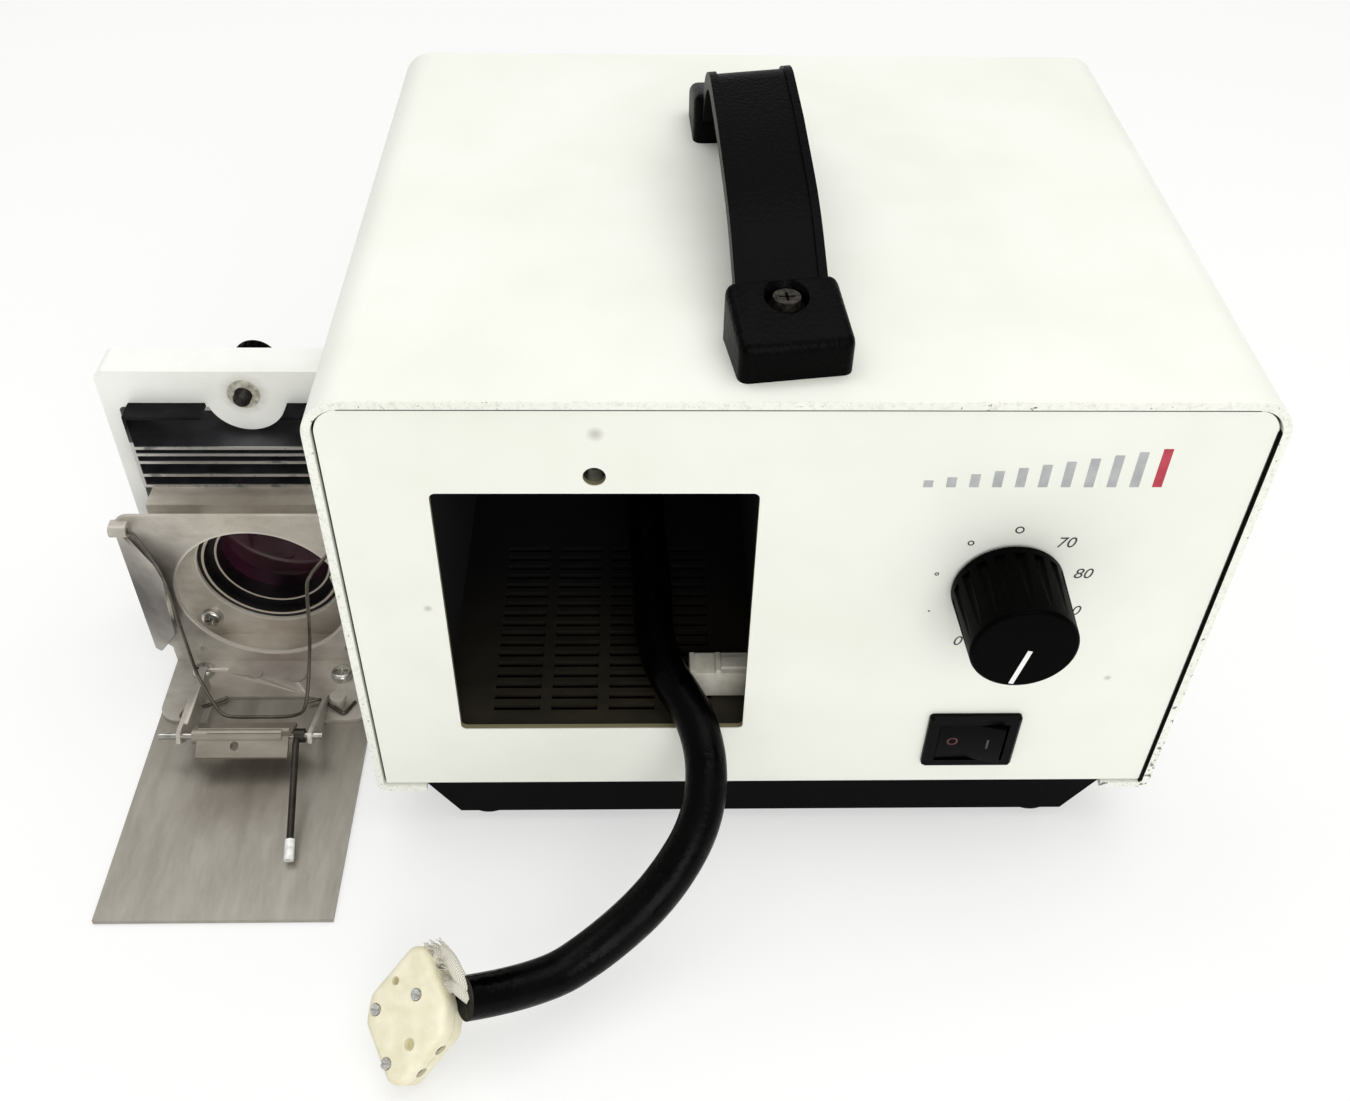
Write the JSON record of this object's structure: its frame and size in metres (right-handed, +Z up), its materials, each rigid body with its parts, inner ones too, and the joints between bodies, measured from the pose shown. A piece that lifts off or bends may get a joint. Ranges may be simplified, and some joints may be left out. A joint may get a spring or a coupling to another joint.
{
  "type": "fibre optic light source",
  "caption": "White bench light source for light guides with dial, rocker switch and carrying handle, its lamp bay open and the lamp module standing beside it.",
  "frame": {"origin": "centre of the plan of case and lamp module together, on the bench", "axes": "+X to the right along the case's front panel, +Y from the front panel to the rear, +Z up"},
  "size_m": [0.2986, 0.2598, 0.1787],
  "materials": {
    "case_enamel": "smooth off-white enamel",
    "door_enamel": "smooth off-white enamel",
    "black_pan": "satin black",
    "foot_rubber": "matte",
    "bay_steel": "dull mill finish",
    "plated_screw": "zinc plated",
    "connector_nylon": "natural nylon",
    "black_plastic": "fine grain",
    "transformer_steel": "varnished laminations",
    "coil_tape": "polyester tape",
    "spreader_aluminium": "mill finish",
    "board_green": "solder resist",
    "standoff_brass": "turned",
    "can_sleeve": "shrink sleeve",
    "chip_black": "moulded",
    "shaft_steel": "bright",
    "knob_plastic": "satin black",
    "pointer_white": "paint fill",
    "handle_plastic": "leather grain",
    "module_steel": "heat-tinted mill finish",
    "spring_steel": "dark wire",
    "port_aluminium": "turned",
    "filter_magenta": "coated heat filter",
    "baffle_black": "matte black",
    "sleeve_clear": "milky",
    "lead_sleeve": "varnished glass sleeve",
    "wire_braid": "glass braid",
    "socket_ceramic": "unglazed ceramic"
  },
  "bodies": {
    "case": {"wrap_cover": "case_enamel", "front_panel": "case_enamel", "chassis_pan": "black_pan", "rear_panel": "black_pan", "rubber_feet": "foot_rubber", "lead_grommet": "foot_rubber", "lamp_bay_floor": "bay_steel", "lamp_bay_walls": "bay_steel", "cover_screws": "plated_screw", "handle_screws": "plated_screw", "fan_screws": "plated_screw", "inlet_screws": "plated_screw", "socket_screws": "plated_screw", "clinch_nut": "plated_screw", "dial_nut": "plated_screw", "lamp_connector": "connector_nylon", "interlock_switch": "black_plastic", "rocker_bezel": "black_plastic", "fan_frame": "black_plastic", "power_inlet": "black_plastic", "potentiometer": "black_plastic", "transformer_core": "transformer_steel", "transformer_winding": "coil_tape", "heat_spreader": "spreader_aluminium", "psu_board": "board_green", "board_standoffs": "standoff_brass", "capacitors": "can_sleeve", "power_transistors": "chip_black", "fan_guard": "shaft_steel", "handle_front_cap": "handle_plastic", "handle_rear_cap": "handle_plastic", "handle_strap": "handle_plastic", "lamp_lead": "lead_sleeve", "lead_wires": "wire_braid", "lamp_socket_base": "socket_ceramic", "lamp_socket_cover": "socket_ceramic"},
    "knob": {"dial_shaft": "shaft_steel", "intensity_knob": "knob_plastic", "knob_pointer": "pointer_white"},
    "rocker": {"rocker_paddle": "black_plastic"},
    "fan": {"fan_rotor": "black_plastic"},
    "lamp_module": {"module_base_plate": "module_steel", "lamp_bracket": "module_steel", "module_screws": "plated_screw", "latch_spring": "spring_steel", "heat_shield": "module_steel", "filter_ring": "port_aluminium", "filter_glass": "filter_magenta", "port_tube": "port_aluminium", "light_baffle": "baffle_black", "door_pan": "door_enamel"},
    "thumb": {"thumb_screw": "shaft_steel", "thumb_knob": "knob_plastic"},
    "bail": {"lamp_bail": "spring_steel"},
    "latch": {"latch_rod": "shaft_steel", "latch_plate": "module_steel", "latch_lever": "spring_steel", "lever_sleeve": "sleeve_clear"},
    "port_lock": {"port_lock_screw": "shaft_steel"}
  },
  "joints": [
    {"name": "knob_turn", "type": "hinge", "parent": "case", "child": "knob", "pos_m": [0.09525, -0.07325, 0.0957], "axis": [0, 1, 0], "range_deg": [0, 321]},
    {"name": "rocker_tip", "type": "hinge", "parent": "case", "child": "rocker", "pos_m": [0.09605, -0.07075, 0.0379], "axis": [0, 0, 1], "range_deg": [0, 14]},
    {"name": "fan_spin", "type": "hinge", "parent": "case", "child": "fan", "pos_m": [-0.00315, 0.08675, 0.085], "axis": [0, 1, 0], "continuous": true},
    {"name": "module_lift", "type": "slide", "parent": "case", "child": "lamp_module", "axis": [0, 0, 1], "range_m": [0, 0.12]},
    {"name": "thumb_turn", "type": "hinge", "parent": "lamp_module", "child": "thumb", "pos_m": [-0.10765, 0.02675, 0.0875], "axis": [0, 1, 0], "continuous": true},
    {"name": "bail_swing", "type": "hinge", "parent": "lamp_module", "child": "bail", "pos_m": [-0.10765, -0.01395, 0.0601], "axis": [1, 0, 0], "range_deg": [0, 12]},
    {"name": "latch_press", "type": "hinge", "parent": "lamp_module", "child": "latch", "pos_m": [-0.10765, -0.04975, 0.0115], "axis": [1, 0, 0], "range_deg": [-8, 0], "stiffness_Nm_per_rad": 0.01, "springref_deg": 2.86},
    {"name": "port_lock_turn", "type": "hinge", "parent": "lamp_module", "child": "port_lock", "pos_m": [-0.10765, 0.03375, 0.05], "axis": [0, 0, 1], "continuous": true}
  ]
}
